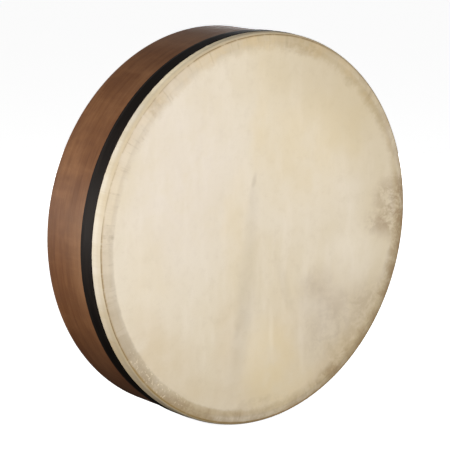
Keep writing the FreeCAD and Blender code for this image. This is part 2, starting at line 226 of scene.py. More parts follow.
class Nodes:
    """A node tree, with short calls for the nodes that this script uses."""

    def __init__(self, tree):
        self.tree = tree

    def add(self, kind, **settings):
        node = self.tree.nodes.new(kind)
        for key, value in settings.items():
            setattr(node, key, value)
        return node

    def feed(self, socket, value):
        """Links a socket to another's output, or sets it to a value."""
        if isinstance(value, bpy.types.NodeSocket):
            self.tree.links.new(value, socket)
        else:
            socket.default_value = value

    def feed_all(self, node, values):
        for socket, value in zip(node.inputs, values):
            self.feed(socket, value)

    def maths(self, operation, *values):
        node = self.add("ShaderNodeMath", operation=operation)
        self.feed_all(node, values)
        return node.outputs[0]

    def chain(self, operation, values):
        """Joins any number of values by one operation, from the left."""
        result = values[0]
        for value in values[1:]:
            result = self.maths(operation, result, value)
        return result

    def plus(self, *values):
        return self.chain("ADD", values)

    def less(self, *values):
        return self.chain("SUBTRACT", values)

    def times(self, *values):
        return self.chain("MULTIPLY", values)

    def most(self, *values):
        return self.chain("MAXIMUM", values)

    def line(self, value, slope, start):
        """start + slope * value"""
        return self.maths("MULTIPLY_ADD", value, slope, start)

    def vector(self, x, y, z):
        node = self.add("ShaderNodeCombineXYZ")
        self.feed_all(node, (x, y, z))
        return node.outputs[0]

    def split(self, vector):
        node = self.add("ShaderNodeSeparateXYZ")
        self.feed(node.inputs[0], vector)
        return node.outputs[0], node.outputs[1], node.outputs[2]

    def vectors(self, operation, *values):
        node = self.add("ShaderNodeVectorMath", operation=operation)
        self.feed_all(node, values)
        return node.outputs["Value"] if operation == "LENGTH" else node.outputs["Vector"]

    def scaled(self, vector, x, y, z):
        return self.vectors("MULTIPLY", vector, (x, y, z))

    def noise(self, vector, scale, detail=3.0, roughness=0.5, output="Fac"):
        node = self.add("ShaderNodeTexNoise")
        self.feed(node.inputs["Vector"], vector)
        node.inputs["Scale"].default_value = scale
        node.inputs["Detail"].default_value = detail
        node.inputs["Roughness"].default_value = roughness
        return node.outputs[output]

    def cells(self, vector, scale):
        node = self.add("ShaderNodeTexVoronoi")
        self.feed(node.inputs["Vector"], vector)
        node.inputs["Scale"].default_value = scale
        return node.outputs["Distance"]

    def ease(self, value, low, high, start=0.0, end=1.0):
        """start below low, end above high, and smooth between them."""
        node = self.add("ShaderNodeMapRange", interpolation_type="SMOOTHSTEP")
        self.feed(node.inputs["Value"], value)
        sockets = ("From Min", "From Max", "To Min", "To Max")
        for socket, number in zip(sockets, (low, high, start, end)):
            node.inputs[socket].default_value = number
        return node.outputs["Result"]

    def band(self, value, middle, half_width, soft):
        """1 within half_width of middle, falling to 0 over soft."""
        off = self.maths("ABSOLUTE", self.maths("SUBTRACT", value, middle))
        return self.ease(off, half_width, half_width + soft, 1.0, 0.0)

    def mix(self, factor, a, b):
        """From colour a to colour b. A mix node's colours are its inputs 6 and 7 and its output 2."""
        node = self.add("ShaderNodeMix", data_type="RGBA")
        self.feed(node.inputs["Factor"], factor)
        self.feed(node.inputs[6], a)
        self.feed(node.inputs[7], b)
        return node.outputs[2]

    def lay(self, colour, shade, *amounts):
        """A display colour laid over another, by the product of the amounts."""
        return self.mix(self.times(*amounts), colour, paint(*shade))


class Material(Nodes):
    """A material's node tree, its shader, and where the shaded point is in its object's frame.

    radius and direction are the point's distance and unit direction from the y axis, which is the
    drum's axis for every turned piece."""

    def __init__(self, name):
        self.material = bpy.data.materials.new(name)
        self.material.use_nodes = True
        super().__init__(self.material.node_tree)
        self.shader = self.tree.nodes["Principled BSDF"]
        self.place = self.add("ShaderNodeTexCoord").outputs["Object"]
        self.x, self.y, self.z = self.split(self.place)
        across = self.vector(self.x, 0.0, self.z)
        self.radius = self.vectors("LENGTH", across)
        self.direction = self.vectors("NORMALIZE", across)

    def set(self, name, value):
        self.feed(self.shader.inputs[name], value)

    def bump(self, height, distance, strength):
        node = self.add("ShaderNodeBump")
        node.inputs["Strength"].default_value = strength
        node.inputs["Distance"].default_value = distance
        self.feed(node.inputs["Height"], height)
        self.set("Normal", node.outputs["Normal"])


# Marks on the skin, in millimetres right of and above its middle:
# (x, z), (half width, half height), tilt in degrees, colour, strength
GREY_BROWN = (164, 148, 124)
BROWN = (130, 100, 66)
RED_BROWN = (122, 86, 64)
TAN = (206, 184, 146)
YELLOW = (224, 205, 166)
PALE = (240, 230, 214)
PEARL = (231, 221, 213)
SMOKE = (160, 139, 120)
SPINE_LEAN = -6.5
SPINE_MARKS = [
    ((-17, 12), (13, 44), SPINE_LEAN, GREY_BROWN, 0.08),
    ((-21, -36), (17, 50), SPINE_LEAN, GREY_BROWN, 0.09),
    ((-26, -80), (17, 44), SPINE_LEAN, GREY_BROWN, 0.14),
    ((-16, -60), (22, 70), SPINE_LEAN, GREY_BROWN, 0.05),
    ((-31, -118), (17, 46), SPINE_LEAN, GREY_BROWN, 0.15),
    ((-37, -114), (5, 12), -14, BROWN, 0.08),
    ((-39, -152), (17, 44), SPINE_LEAN, BROWN, 0.10),
    ((34, -70), (9, 52), 20, GREY_BROWN, 0.10),
    ((-14, 36), (10, 32), -5, GREY_BROWN, 0.07),
    ((-13, 61), (4, 10), -20, BROWN, 0.20),
    ((-16, 46), (5, 14), -3, BROWN, 0.05),
    ((14, -122), (4.5, 38), 3, PALE, 0.22),
    ((60, -150), (6, 34), 4, PALE, 0.22),
]
SOFT_MARKS = [
    ((-54, -120), (20, 70), SPINE_LEAN, TAN, 0.28),
    ((-40, 20), (22, 80), SPINE_LEAN, YELLOW, 0.28),
    ((-5, 130), (16, 80), SPINE_LEAN, YELLOW, 0.26),
    ((60, 85), (80, 100), 10, YELLOW, 0.33),
    ((140, 120), (70, 80), 0, YELLOW, 0.31),
    ((40, -130), (40, 66), 12, TAN, 0.32),
    ((-165, -30), (40, 60), 0, YELLOW, 0.20),
    ((-150, -120), (44, 80), 38, TAN, 0.42),
    ((124, -116), (80, 66), 35, SMOKE, 0.22),
    ((80, -80), (34, 30), 0, SMOKE, 0.18),
    ((155, -45), (56, 46), 0, PALE, 0.40),
    ((-120, 80), (100, 130), 0, PEARL, 0.45),
    ((100, -185), (110, 30), 30, TAN, 0.45),
    ((5, -150), (60, 56), 0, YELLOW, 0.55),
    ((20, -190), (60, 34), 0, YELLOW, 0.6),
    ((-60, -185), (90, 26), -14, TAN, 0.25),
]
ROUGH_MARKS = [
    ((204, 2), (32, 46), 8, RED_BROWN, 0.58),
    ((180, -14), (26, 20), 0, RED_BROWN, 0.28),
    ((221, 4), (13, 56), -5, RED_BROWN, 0.60),
    ((212, -62), (15, 50), -14, RED_BROWN, 0.46),
    ((196, -108), (26, 46), -25, BROWN, 0.34),
    ((86, -80), (32, 24), -20, SMOKE, 0.16),
    ((108, -134), (54, 42), 30, SMOKE, 0.30),
    ((162, -112), (38, 32), 30, SMOKE, 0.30),
    ((138, -165), (66, 22), 39, BROWN, 0.22),
    ((112, -188), (70, 17), 30, BROWN, 0.48),
    ((62, 207), (44, 11), -16, BROWN, 0.44),
    ((131, 164), (14, 6), -40, GREY_BROWN, 0.50),
    ((172, 128), (12, 46), 38, GREY_BROWN, 0.36),
    ((-10, -206), (60, 10), 2, BROWN, 0.18),
    ((-218, 20), (9, 22), 5, GREY_BROWN, 0.45),
    ((-220, -30), (7, 18), -5, GREY_BROWN, 0.40),
    ((-150, 168), (30, 9), 45, GREY_BROWN, 0.46),
    ((-207, 100), (6, 18), -25, GREY_BROWN, 0.36),
    ((-152, -154), (20, 6), -44, PALE, 0.70),
    ((-128, -182), (16, 5), -36, PALE, 0.60),
]

# The skin's other colours
CREAM = (224, 212, 192)
DEEP_CREAM = (219, 205, 179)
LIGHT_CREAM = (232, 221, 205)
BLOTCH = (186, 167, 138)
PORES = (160, 138, 108)
HANDLED = (182, 162, 120)
RING_GREY = (172, 156, 132)
RING_BROWN = (168, 146, 106)
GRUBBY = (136, 106, 72)
TICKS = (134, 112, 84)
WARM = (222, 190, 134)
# Pale flecks: loose fibres, and painted glints at the right
PALE_FLECKS = (236, 222, 190)
# Partly a brown stain and partly painted shade on the rim's rounding
RIM_BROWN_AND_SHADE = (134, 102, 62)
# Painted shade along the rim's right-hand edge
EDGE_SHADE = (88, 62, 34)
SIDE = (212, 201, 182)
SIDE_DEEP = (204, 191, 166)
SIDE_LOW = (190, 162, 112)
SIDE_TOP = (250, 233, 198)
SIDE_PLEATS = (160, 136, 96)
SIDE_BLOTCH = (180, 156, 116)
# Painted shade for the shoulder of the skin's rounding
SHOULDER_SHADE = (184, 167, 138)
# Painted shade in the crease line
CREASE_SHADE = (78, 58, 34)
# Painted shade in brown, beside the crease
CREASE_SIDE_SHADE = (160, 134, 90)
FLESH_SIDE = (214, 204, 186)


class Skin(Material):
    """The goat skin's material, with the fields that several of its parts share.

    to_right and to_top are the rightward and upward parts of the direction from the axis."""

    def __init__(self):
        super().__init__("goat_skin_natural")
        self.flat = self.vector(self.x, self.z, 0.0)
        self.to_right, _, self.to_top = self.split(self.direction)
        self.to_lower_left = self.line(self.to_right, -0.7, self.times(self.to_top, -0.7))
        self.blotch = self.noise(self.flat, 70, 5, 0.66)
        self.fine = self.noise(self.flat, 480, 3, 0.6)
        self.patches = self.noise(self.warped(40, 0.02), 48, 5, 0.68)
        self.stain = self.around(5, 1.3, 4)
        self.pleats = self.around(90, 1.0, 4)
        self.gaps = self.ease(self.around(22, 1.0, 3), 0.34, 0.5, 0.35, 1.0)
        bent = self.scaled(self.warped(60, 0.01), 9, 9, 1)
        streaked = self.vectors("ADD", self.scaled(self.direction, 50, 50, 50), bent)
        self.streaks = self.noise(streaked, 1.0, 4, 0.65)
        self.backed = self.backed_by_hoop()

    def around(self, size, scale, detail):
        """Noise that changes only with the direction from the axis."""
        return self.noise(self.scaled(self.direction, size, size, size), scale, detail, 0.6)

    def warped(self, scale, amount):
        """The flat place shifted by smooth noise, so that what is drawn there has a wandering edge."""
        shift = self.noise(self.flat, scale, 3, 0.55, "Color")
        shift = self.vectors("SUBTRACT", shift, (0.5, 0.5, 0.5))
        return self.vectors("ADD", self.flat, self.scaled(shift, amount, amount, 0))

    def add_marks(self, colour, place, marks, cover):
        """Lays soft elliptical marks over a colour, each multiplied by cover."""
        for (mark_x, mark_z), (half_x, half_z), tilt, shade, strength in marks:
            mapping = self.add("ShaderNodeMapping", vector_type="TEXTURE")
            self.feed(mapping.inputs["Vector"], place)
            mapping.inputs["Location"].default_value = (mark_x * MM, mark_z * MM, 0)
            mapping.inputs["Rotation"].default_value = (0, 0, math.radians(tilt))
            mapping.inputs["Scale"].default_value = (half_x * MM, half_z * MM, 1)
            away = self.vectors("LENGTH", mapping.outputs["Vector"])
            colour = self.lay(colour, shade, self.ease(away, 0.2, 1.2, strength, 0.0), cover)
        return colour

    def face(self):
        """Dried skin: cream clouds, faint upright streaks, pores, the spine and the stains."""
        cloud = self.noise(self.flat, 8, 3, 0.5)
        upright = self.noise(self.scaled(self.flat, 1.6, 0.4, 1), 26, 3, 0.6)
        puffs = self.noise(self.flat, 34, 4, 0.62)
        colour = self.mix(self.ease(cloud, 0.35, 0.65), paint(*CREAM), paint(*DEEP_CREAM))
        colour = self.lay(colour, LIGHT_CREAM, self.ease(upright, 0.45, 0.7), 0.3)
        colour = self.lay(colour, BLOTCH, self.ease(self.blotch, 0.46, 0.74), 0.14)
        colour = self.lay(colour, PORES, self.ease(self.fine, 0.55, 0.8), 0.14)
        cover = self.ease(puffs, 0.25, 0.6, 0.45, 1.0)
        colour = self.add_marks(colour, self.warped(20, 0.045), SOFT_MARKS, cover)
        cover = self.ease(puffs, 0.3, 0.6, 0.75, 1.0)
        colour = self.add_marks(colour, self.warped(30, 0.005), SPINE_MARKS, cover)
        hair = self.noise(self.scaled(self.warped(30, 0.03), 0.8, 1.3, 1), 100, 4, 0.55)
        blobs = self.noise(self.warped(24, 0.03), 46, 4, 0.6)
        cover = self.most(self.ease(hair, 0.42, 0.64, 0.1, 0.9), self.ease(blobs, 0.44, 0.6, 0.1, 1.0))
        cover = self.times(cover, self.ease(puffs, 0.35, 0.6, 0.6, 1.0))
        return self.add_marks(colour, self.warped(60, 0.016), ROUGH_MARKS, cover)

    def handled(self, colour):
        """Tanner towards the ring, at the right, the top right and the bottom."""
        amount = self.most(
            self.ease(self.to_right, -0.2, 0.6, 0.0, 0.24),
            self.ease(self.to_top, -1.0, -0.5, 0.22, 0.0),
        )
        upper = self.times(
            self.ease(self.to_top, 0.2, 0.8), self.ease(self.to_right, -0.3, 0.4, 0.06, 0.2)
        )
        near_ring = self.ease(self.radius, RING_INNER - 90 * MM, RING_INNER - 8 * MM)
        return self.lay(colour, HANDLED, self.plus(amount, upper), near_ring)

    def backed_by_hoop(self):
        """1 over the hoop and 0 inside it, with an edge that is ragged at the right and the top."""
        ragged = self.most(self.ease(self.to_right, -0.5, 0.5), self.ease(self.to_top, 0.1, 0.7))
        wander = self.less(self.noise(self.flat, 80, 5, 0.7), 0.5)
        wander = self.times(wander, self.line(ragged, 18 * MM, 4 * MM))
        wander = self.plus(wander, self.times(ragged, 1.6 * MM))
        past_edge = self.less(self.plus(self.radius, wander), RING_INNER)
        softness = self.line(ragged, 7 * MM, 2.6 * MM)
        return self.ease(self.maths("DIVIDE", past_edge, softness), -0.6, 0.6)

    def ring(self, colour):
        """Darker where the hoop backs the skin: least at the left, and most at the lower left. Over the
        hoop's outer part it is held back at the upper right and at the very bottom, as painted light
        against the rounding's shade.
        """
        amount = self.plus(
            0.24,
            self.ease(self.to_top, -0.9, 0.1, 0.06, 0.0),
            self.ease(self.to_lower_left, 0.5, 0.95, 0.0, 0.35),
            self.ease(self.to_right, -0.2, 0.9, 0.0, 0.12),
            self.ease(self.to_top, 0.2, 0.9, 0.0, 0.11),
            self.ease(self.to_right, -0.9, -0.5, 0.02, 0.0),
        )
        outwards = self.ease(self.radius, RING_INNER, SHELL_RADIUS - SHELL_WALL, 0.8, 1.25)
        amount = self.times(amount, outwards)
        amount = self.times(amount, self.backed, self.ease(self.stain, 0.3, 0.62, 0.75, 1.1))
        # Painted light: less of the darker tone over the hoop's outer part at the upper right and the
        # very bottom
        painted_light = self.times(
            self.ease(self.to_right, 0.2, 0.8), self.ease(self.to_top, -0.2, 0.2, 0.0, 0.9)
        )
        painted_light = self.most(painted_light, self.ease(self.to_top, -0.99, -0.9, 0.9, 0.0))
        painted_light = self.times(painted_light, self.ease(self.radius, RING_INNER + 2 * MM, RING_INNER + 10 * MM))
        amount = self.times(amount, self.less(1.0, painted_light))
        shade = self.mix(self.ease(self.to_right, -0.9, -0.3), paint(*RING_GREY), paint(*RING_BROWN))
        return self.mix(amount, colour, shade)

    def wear(self, colour):
        """Dirt, short dark ticks and warm tones in the ring, and pale flecks at the hoop's edge: loose
        fibres at the lower left, painted glints at the right.
        """
        grubby = self.most(
            self.ease(self.to_right, 0.2, 0.85), self.ease(self.to_top, -0.8, -0.3, 0.8, 0.0)
        )
        outwards = self.ease(self.radius, RING_INNER - 8 * MM, SHELL_RADIUS - 6 * MM)
        patches = self.ease(self.patches, 0.4, 0.62)
        upper = self.ease(self.to_top, -0.1, 0.6, 0.36, 0.2)
        colour = self.lay(colour, GRUBBY, grubby, outwards, patches, upper)
        streaks, blotch = self.ease(self.streaks, 0.5, 0.75), self.ease(self.blotch, 0.4, 0.6)
        colour = self.lay(colour, TICKS, self.backed, streaks, blotch, 0.34)
        warm = self.ease(self.noise(self.flat, 30, 4, 0.6), 0.42, 0.66)
        colour = self.lay(colour, WARM, self.backed, warm, self.ease(self.to_top, 0.1, 0.7), 0.2)
        # Pale flecks: loose fibres at the lower left, and painted glints along the right-hand rim
        worn = self.most(
            self.ease(self.to_lower_left, 0.94, 0.995), self.ease(self.to_right, 0.95, 0.99, 0.0, 0.35)
        )
        fibres = self.noise(self.scaled(self.warped(90, 0.01), 1.0, 0.7, 1), 380, 2, 0.5)
        return self.lay(colour, PALE_FLECKS, self.backed, worn, self.ease(fibres, 0.57, 0.66), 0.6)

    def rim(self, colour):
        """The rounded rim is browner, most of all at the right and the bottom: partly a brown stain,
        partly painted shade on the rounding.
        """
        near_rim = self.ease(self.radius, SHELL_RADIUS - 9 * MM, SHELL_RADIUS - 2 * MM)
        where = self.most(
            self.ease(self.to_right, 0.2, 1.0, 0.06, 0.4), self.ease(self.to_top, -1.0, -0.5, 0.2, 0.06)
        )
        where = self.times(where, self.ease(self.patches, 0.3, 0.6, 0.6, 1.2))
        where = self.times(where, self.ease(self.to_top, 0.0, 0.4, 1.0, 0.2))
        return self.lay(colour, RIM_BROWN_AND_SHADE, near_rim, where)

    def side(self):
        """The skin outside the shell, from the crease to the band, with painted shade on the shoulder
        where the skin rounds the rim.
        """
        side = self.mix(self.ease(self.stain, 0.4, 0.64), paint(*SIDE), paint(*SIDE_DEEP))
        side = self.lay(side, SIDE_LOW, self.ease(self.to_top, -0.6, 0.0, 0.55, 0.0))
        side = self.lay(side, SIDE_TOP, self.ease(self.to_top, 0.66, 0.9, 0.0, 0.85))
        side = self.lay(side, SIDE_PLEATS, self.ease(self.pleats, 0.5, 0.72), 0.16)
        side = self.lay(side, SIDE_BLOTCH, self.ease(self.blotch, 0.45, 0.7), 0.16)
        # Painted shade over the rounded shoulder next to the crease, strongest at the top and the
        # bottom
        shoulder_end = SHELL_FRONT + 2 * SHELL_FRONT_ROUNDING
        shoulder_shade = self.ease(self.y, SHELL_FRONT, shoulder_end, 0.85, 0.0)
        up_or_down = self.maths("ABSOLUTE", self.to_top)
        return self.lay(side, SHOULDER_SHADE, shoulder_shade, self.ease(up_or_down, 0.0, 0.6, 0.45, 1.0))

    def edge(self, colour):
        """Painted shade: the dark line that the rim shows at its right-hand edge, where the rounding
        turns away from the light.
        """
        edge = self.times(
            self.ease(self.radius, SHELL_RADIUS - 2.8 * MM, SHELL_RADIUS - 1.3 * MM),
            self.ease(self.to_right, 0.0, 0.5),
        )
        edge = self.times(edge, self.ease(self.to_top, 0.0, 0.5, 0.85, 0.2))
        front = self.ease(self.y, SHELL_FRONT + 2 * MM, SHELL_FRONT + 6 * MM, 1.0, 0.0)
        return self.lay(colour, EDGE_SHADE, edge, front)

    def crease(self, colour):
        """The broken line that the rim presses into the skin, darkened with painted shade, with a
        browner painted shade beside it that is strongest low down: (colour, line).
        """
        wander = self.times(self.less(self.stain, 0.5), 1.2 * MM)
        line = self.band(self.plus(self.radius, wander), SHELL_RADIUS - 1.9 * MM, 0.22 * MM, 0.4 * MM)
        depth = self.most(
            self.ease(self.to_top, -0.1, 0.25, 1.0, 0.35), self.ease(self.to_top, 0.8, 0.95, 0.0, 0.9)
        )
        line = self.times(line, self.gaps, depth)
        # Painted shade darkens the crease line
        colour = self.lay(colour, CREASE_SHADE, line, 0.85)
        # Painted shade: a browner band beside the crease, strongest low down
        beside_crease = self.band(self.radius, SHELL_RADIUS - 2.2 * MM, 0.4 * MM, 1.4 * MM)
        low = self.ease(self.to_top, -0.65, -0.4, 0.95, 0.5)
        return self.lay(colour, CREASE_SIDE_SHADE, beside_crease, self.gaps, depth, low), line

    def flesh_side(self, colour):
        """The inner face, seen from the open rear, is whiter."""
        under = self.ease(self.y, SKIN_FRONT + 0.3 * MM, SKIN_FRONT + 0.6 * MM)
        inside = self.ease(self.radius, RING_INNER, SHELL_RADIUS - 6 * MM, 1.0, 0.0)
        return self.lay(colour, FLESH_SIDE, self.times(under, inside), 0.45)


def skin_material():
    n = Skin()
    colour = n.rim(n.wear(n.ring(n.handled(n.face()))))
    on_side = n.ease(n.radius, SHELL_RADIUS - 1.7 * MM, SHELL_RADIUS - 1.1 * MM)
    colour = n.edge(n.mix(on_side, colour, n.side()))
    colour, crease = n.crease(colour)
    n.set("Base Color", n.flesh_side(colour))
    n.set("Roughness", n.line(n.blotch, 0.2, 0.6))
    n.set("Specular IOR Level", 0.12)
    height = n.plus(
        n.times(n.fine, 0.35),
        n.times(n.blotch, 0.7),
        n.times(n.pleats, on_side),
        n.times(n.streaks, 0.4),
    )
    n.bump(n.less(height, n.times(crease, 1.4)), 0.3 * MM, 0.5)
    return n.material


# Colours of the stained wood
STAIN = (115, 76, 47)
STAIN_DEEP = (98, 62, 37)
CLOUD_PALE = (146, 104, 70)
CLOUD_DARK = (98, 58, 32)
DRIFT = (88, 52, 29)
MOTTLE = (92, 58, 38)
RAY_DARK = (90, 56, 36)
RAY_PALE = (142, 100, 66)
WOOD_PORES = (74, 45, 28)
# The next three colours are painted light: shade low down, a sheen at the very top, a highlight beside
# the band
LOW_SHADE = (66, 38, 24)
TOP_SHEEN = (160, 124, 98)
SIDE_HIGHLIGHT = (152, 116, 84)
REAR_EDGE = (150, 112, 78)
GLUE_LINE = (44, 26, 17)

# Colours of the band, the hoop and the crossbar
BAND_BLACK = (16, 12, 10)
BAND_SCUFFED = (28, 22, 18)
BAND_RUBBED = (46, 36, 30)
BAND_SHADE = (6, 3, 1)
# Painted shade for the band's top and bottom
BAND_JOINT = (6, 5, 5)
PLY = (214, 182, 138)
PLY_DEEP = (190, 152, 106)
PLY_PORES = (150, 112, 74)
PLY_CROSS_GRAIN = (168, 128, 86)
PLY_GLUE = (110, 74, 45)
BEECH = (132, 92, 64)
BEECH_DEEP = (100, 66, 44)
BEECH_FLECKS = (66, 42, 28)
BEECH_WORN = (168, 126, 92)

# Metals, as linear colours: bright and dull
ZINC = (0.60, 0.60, 0.58, 1), (0.44, 0.44, 0.43, 1)
BLACK_OXIDE = (0.045, 0.045, 0.05, 1), (0.02, 0.02, 0.022, 1)


def wood_grain(n, along, across, outwards):
    """Stretched noise whose lines run round the drum: (broad figure, fine pores)."""
    depth = n.line(n.radius, outwards, n.times(n.y, across))
    flow = n.vector(n.times(n.x, along), n.times(n.z, along), depth)
    figure = n.noise(flow, 1.0, 5, 0.6)
    pores = n.noise(n.scaled(flow, 6, 6, 7), 1.0, 3, 0.65)
    return figure, pores


def stretched(n, along, across):
    """The place scaled by along in the drum's plane, and by across along the drum's axis."""
    return n.vector(n.times(n.x, along), n.times(n.z, along), n.times(n.y, across))


def shell_wood(n, figure, pores):
    """The stain's colour, with broad clouds, darker drifts, mottling and rays across the grain."""
    cloud = n.noise(stretched(n, 7, 22), 1.0, 4, 0.6)
    mottle = n.noise(n.place, 75, 4, 0.62)
    drift = n.noise(stretched(n, 9, 70), 1.0, 3, 0.55)
    ray = n.noise(stretched(n, 44, 12), 1.0, 3, 0.6)
    colour = n.mix(n.ease(figure, 0.3, 0.72), paint(*STAIN), paint(*STAIN_DEEP))
    colour = n.lay(colour, CLOUD_PALE, n.ease(cloud, 0.4, 0.68), 0.45)
    colour = n.lay(colour, CLOUD_DARK, n.ease(cloud, 0.3, 0.46, 1.0, 0.0), 0.4)
    colour = n.lay(colour, DRIFT, n.ease(drift, 0.48, 0.7), 0.26)
    colour = n.lay(colour, MOTTLE, n.ease(mottle, 0.45, 0.7), 0.26)
    colour = n.lay(colour, RAY_DARK, n.ease(ray, 0.46, 0.68), 0.24)
    colour = n.lay(colour, RAY_PALE, n.ease(ray, 0.32, 0.48, 1.0, 0.0), 0.2)
    return n.lay(colour, WOOD_PORES, n.ease(pores, 0.54, 0.74), 0.32)


def shell_material():
    """Bent hardwood with a satin brown stain and its grain running round the drum."""
    n = Material("shell_stained_wood")
    figure, pores = wood_grain(n, 11.0, 190.0, 240.0)
    colour = shell_wood(n, figure, pores)
    # Painted light: darker low down as painted shade, paler at the very top as a painted sheen, and
    # paler halfway up near the band as a painted highlight
    colour = n.lay(colour, LOW_SHADE, n.ease(n.z, -0.17, -0.06, 0.45, 0.0))
    # Painted sheen: paler over the very top of the shell
    colour = n.lay(colour, TOP_SHEEN, n.ease(n.z, 0.205, 0.228, 0.0, 0.4))
    # Painted highlight: paler at the sides, halfway up, towards the band
    highlight_zone = n.band(n.z, 0.0, 20 * MM, 70 * MM)
    colour = n.lay(colour, SIDE_HIGHLIGHT, highlight_zone, n.ease(n.y, -50 * MM, 0.0, 0.3, 0.0))
    rear = n.ease(n.y, SHELL_REAR - 2.2 * MM, SHELL_REAR - 0.6 * MM)
    colour = n.lay(colour, REAR_EDGE, rear, n.ease(pores, 0.4, 0.6), 0.35)
    slanted = n.line(n.y, SCARF_SLANT, n.maths("ARCTAN2", n.z, n.x))
    joint = n.band(slanted, SCARF_ANGLE, 0.0011, 0.0014)
    n.set("Base Color", n.lay(colour, GLUE_LINE, joint, 0.8))
    n.set("Roughness", n.line(pores, 0.2, 0.42))
    n.set("Specular IOR Level", 0.14)
    height = n.less(n.times(figure, 0.4), n.times(n.ease(pores, 0.52, 0.75), 0.6))
    n.bump(n.less(height, n.times(joint, 2.0)), 0.12 * MM, 0.5)
    return n.material


def band_material():
    """Thin satin black binding with a fine pebbled grain and rubbed edges, darkened towards the top and
    the bottom as painted shade.
    """
    n = Material("band_satin_black")
    pebble = n.cells(n.place, 1500)
    scuff = n.noise(n.scaled(n.place, 30, 200, 30), 1.0, 4, 0.6)
    middle = (BAND_FRONT + BAND_REAR) / 2
    half = (BAND_REAR - BAND_FRONT) / 2
    edge = n.ease(n.maths("ABSOLUTE", n.less(n.y, middle)), half - 0.9 * MM, half)
    # Painted shade: the band darkens towards its top and its bottom
    top_and_bottom_shade = n.most(n.ease(n.z, 0.1, 0.2, 0.0, 0.7), n.ease(n.z, -0.13, -0.05, 0.75, 0.0))
    butt = n.band(n.maths("ARCTAN2", n.z, n.x), BUTT_ANGLE, 0.0008, 0.0012)
    colour = n.mix(n.ease(scuff, 0.4, 0.75), paint(*BAND_BLACK), paint(*BAND_SCUFFED))
    colour = n.lay(colour, BAND_RUBBED, edge, 0.4)
    colour = n.lay(colour, BAND_SHADE, top_and_bottom_shade)
    n.set("Base Color", n.lay(colour, BAND_JOINT, butt))
    n.set("Roughness", n.line(scuff, 0.25, 0.42))
    n.set("Specular IOR Level", 0.1)
    n.set("Specular Tint", (1.0, 0.84, 0.74, 1))
    height = n.plus(n.times(pebble, 0.5), n.times(scuff, 0.6))
    n.bump(n.less(height, n.times(butt, 3.0)), 0.08 * MM, 0.4)
    return n.material


def ply_material():
    """Clear-finished birch ply: pale faces, with thin glue lines on the rear edge."""
    n = Material("hoop_birch_ply")
    figure, pores = wood_grain(n, 7.0, 110.0, 150.0)
    colour = n.mix(n.ease(figure, 0.3, 0.7), paint(*PLY), paint(*PLY_DEEP))
    colour = n.lay(colour, PLY_PORES, n.ease(pores, 0.58, 0.75), 0.35)
    layer = n.maths("FRACT", n.maths("DIVIDE", n.less(n.radius, RING_INNER), RING_WALL / 6))
    glue = n.band(layer, 0.5, 0.02, 0.07)
    cross_ply = n.maths("FRACT", n.maths("DIVIDE", n.radius, RING_WALL / 3))
    cross_ply = n.maths("GREATER_THAN", cross_ply, 0.5)
    edge = n.ease(n.y, RING_REAR - 0.3 * MM, RING_REAR - 0.05 * MM)
    colour = n.lay(colour, PLY_CROSS_GRAIN, edge, cross_ply, 0.4)
    n.set("Base Color", n.lay(colour, PLY_GLUE, edge, glue, 0.8))
    n.set("Roughness", n.line(pores, 0.2, 0.42))
    n.bump(n.plus(n.times(figure, 0.4), n.times(pores, 0.4)), 0.1 * MM, 0.4)
    return n.material


def bar_material():
    """Stained beech with its grain upright, along the bar, and short dark flecks."""
    n = Material("crossbar_stained_beech")
    figure = n.noise(n.scaled(n.place, 90, 90, 6), 1.0, 5, 0.55)
    flecks = n.noise(n.scaled(n.place, 900, 900, 110), 1.0, 2, 0.5)
    colour = n.mix(n.ease(figure, 0.3, 0.7), paint(*BEECH), paint(*BEECH_DEEP))
    colour = n.lay(colour, BEECH_FLECKS, n.ease(flecks, 0.6, 0.72), 0.5)
    worn = n.ease(n.maths("ABSOLUTE", n.z), 0.02, 0.075, 1.0, 0.0)
    colour = n.lay(colour, BEECH_WORN, n.times(worn, n.ease(figure, 0.35, 0.6)), 0.35)
    n.set("Base Color", colour)
    n.set("Roughness", n.line(figure, 0.2, 0.34))
    n.set("Coat Weight", 0.2)
    n.set("Coat Roughness", 0.3)
    n.bump(n.less(n.times(figure, 0.5), n.times(flecks, 0.4)), 0.12 * MM, 0.4)
    return n.material


def steel_material(name, light, dark, roughness):
    """Plated steel with faint rolling marks and small dull spots."""
    n = Material(name)
    spots = n.noise(n.place, 260, 4, 0.65)
    lines = n.noise(n.scaled(n.place, 400, 3000, 400), 1.0, 2, 0.5)
    n.set("Base Color", n.mix(n.ease(spots, 0.4, 0.7), light, dark))
    n.set("Metallic", 1.0)
    n.set("Roughness", n.line(spots, 0.25, roughness))
    n.bump(n.plus(n.times(spots, 0.5), n.times(lines, 0.5)), 0.03 * MM, 0.4)
    return n.material


# Shapes


def link(name, mesh, material):
    """An object for a mesh, with its material and smooth shading."""
    piece = bpy.data.objects.new(name, mesh)
    bpy.context.scene.collection.objects.link(piece)
    mesh.materials.append(material)
    shade_smooth(mesh)
    return piece


def shade_smooth(mesh):
    mesh.polygons.foreach_set("use_smooth", [True] * len(mesh.polygons))


def arc(centre, radius, start, end, steps):
    """Profile points (radius, y) on an arc; angles in degrees from outwards towards the front."""
    angles = np.radians(np.linspace(start, end, steps + 1))
    return [(centre[0] + radius * math.cos(a), centre[1] - radius * math.sin(a)) for a in angles]


def stretch(start, end, steps):
    """Evenly spaced profile points from start up to, but not including, end."""
    shares = np.arange(steps) / steps
    return [tuple(np.array(start) + (np.array(end) - np.array(start)) * s) for s in shares]


def bridge(rows, turns, closed=False):
    """Faces between rows of points, where each row has turns points and closes on itself."""
    faces = []
    for row in range(rows if closed else rows - 1):
        here, there = row * turns, (row + 1) % rows * turns
        for point in range(turns):
            after = (point + 1) % turns
            faces.append((here + point, here + after, there + after, there + point))
    return faces


